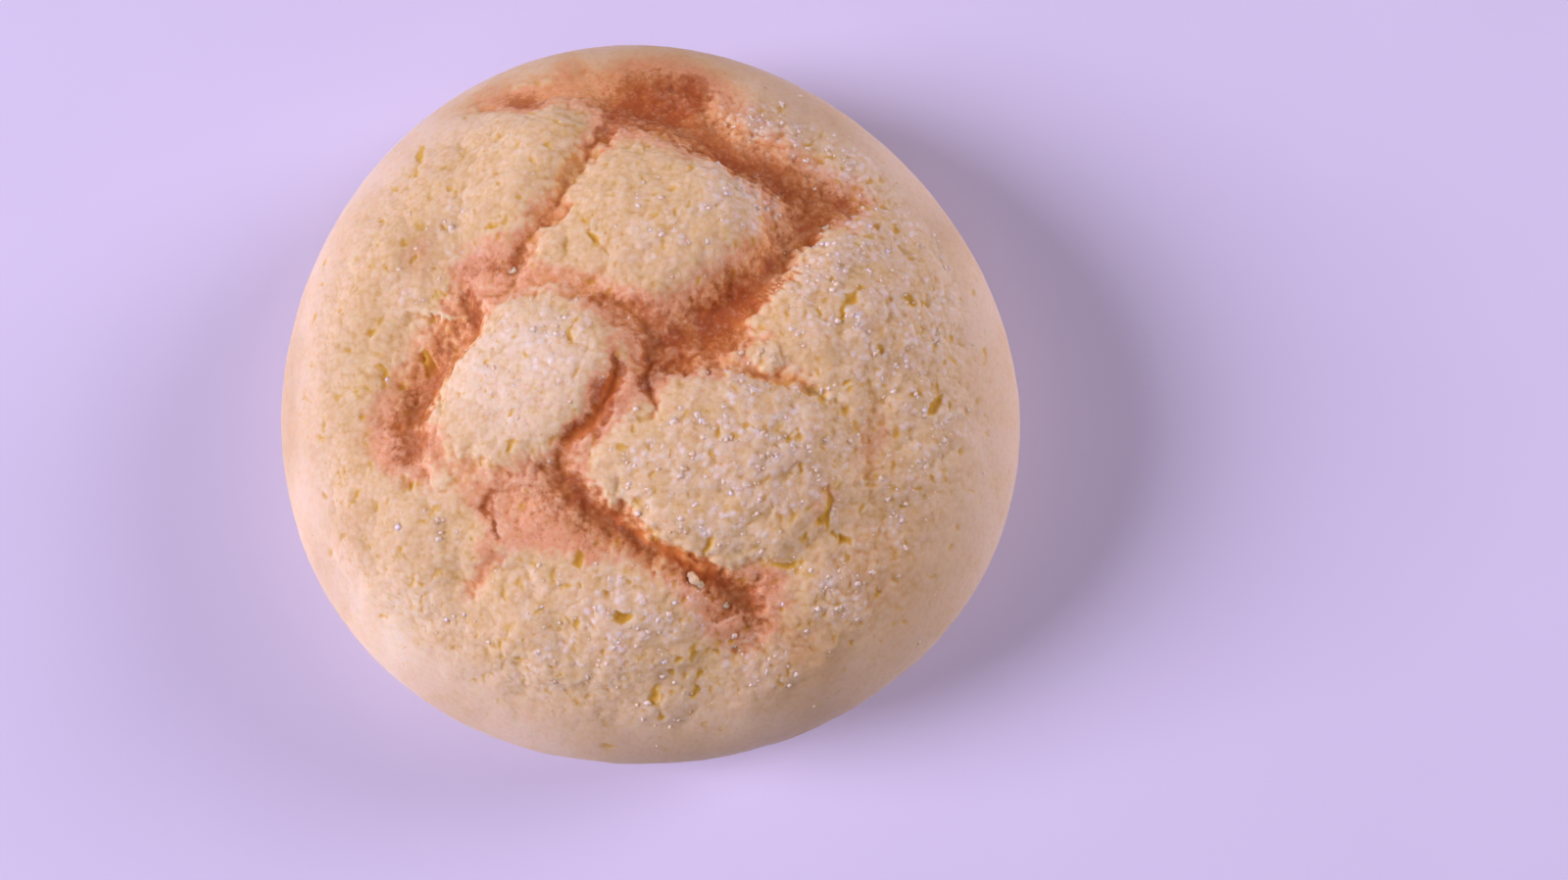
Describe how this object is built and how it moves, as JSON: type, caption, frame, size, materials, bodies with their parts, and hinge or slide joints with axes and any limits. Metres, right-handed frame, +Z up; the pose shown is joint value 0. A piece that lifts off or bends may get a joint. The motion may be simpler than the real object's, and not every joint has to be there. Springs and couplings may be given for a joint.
{
  "type": "melon bread",
  "caption": "Round sweet bun with a domed, sugared cookie crust that has split into raised plates, and a flat base that it rests on.",
  "frame": {"origin": "middle of the flat base, under the centre of the outline", "axes": "+Z up from the base to the crown; +X and +Y are the right and the far side as the bun lies on a table in front of the viewer"},
  "size_m": [0.1242, 0.1236, 0.0485],
  "materials": {
    "crust": "matte"
  },
  "bodies": {
    "root": {"melon_bread": "crust"}
  },
  "joints": []
}
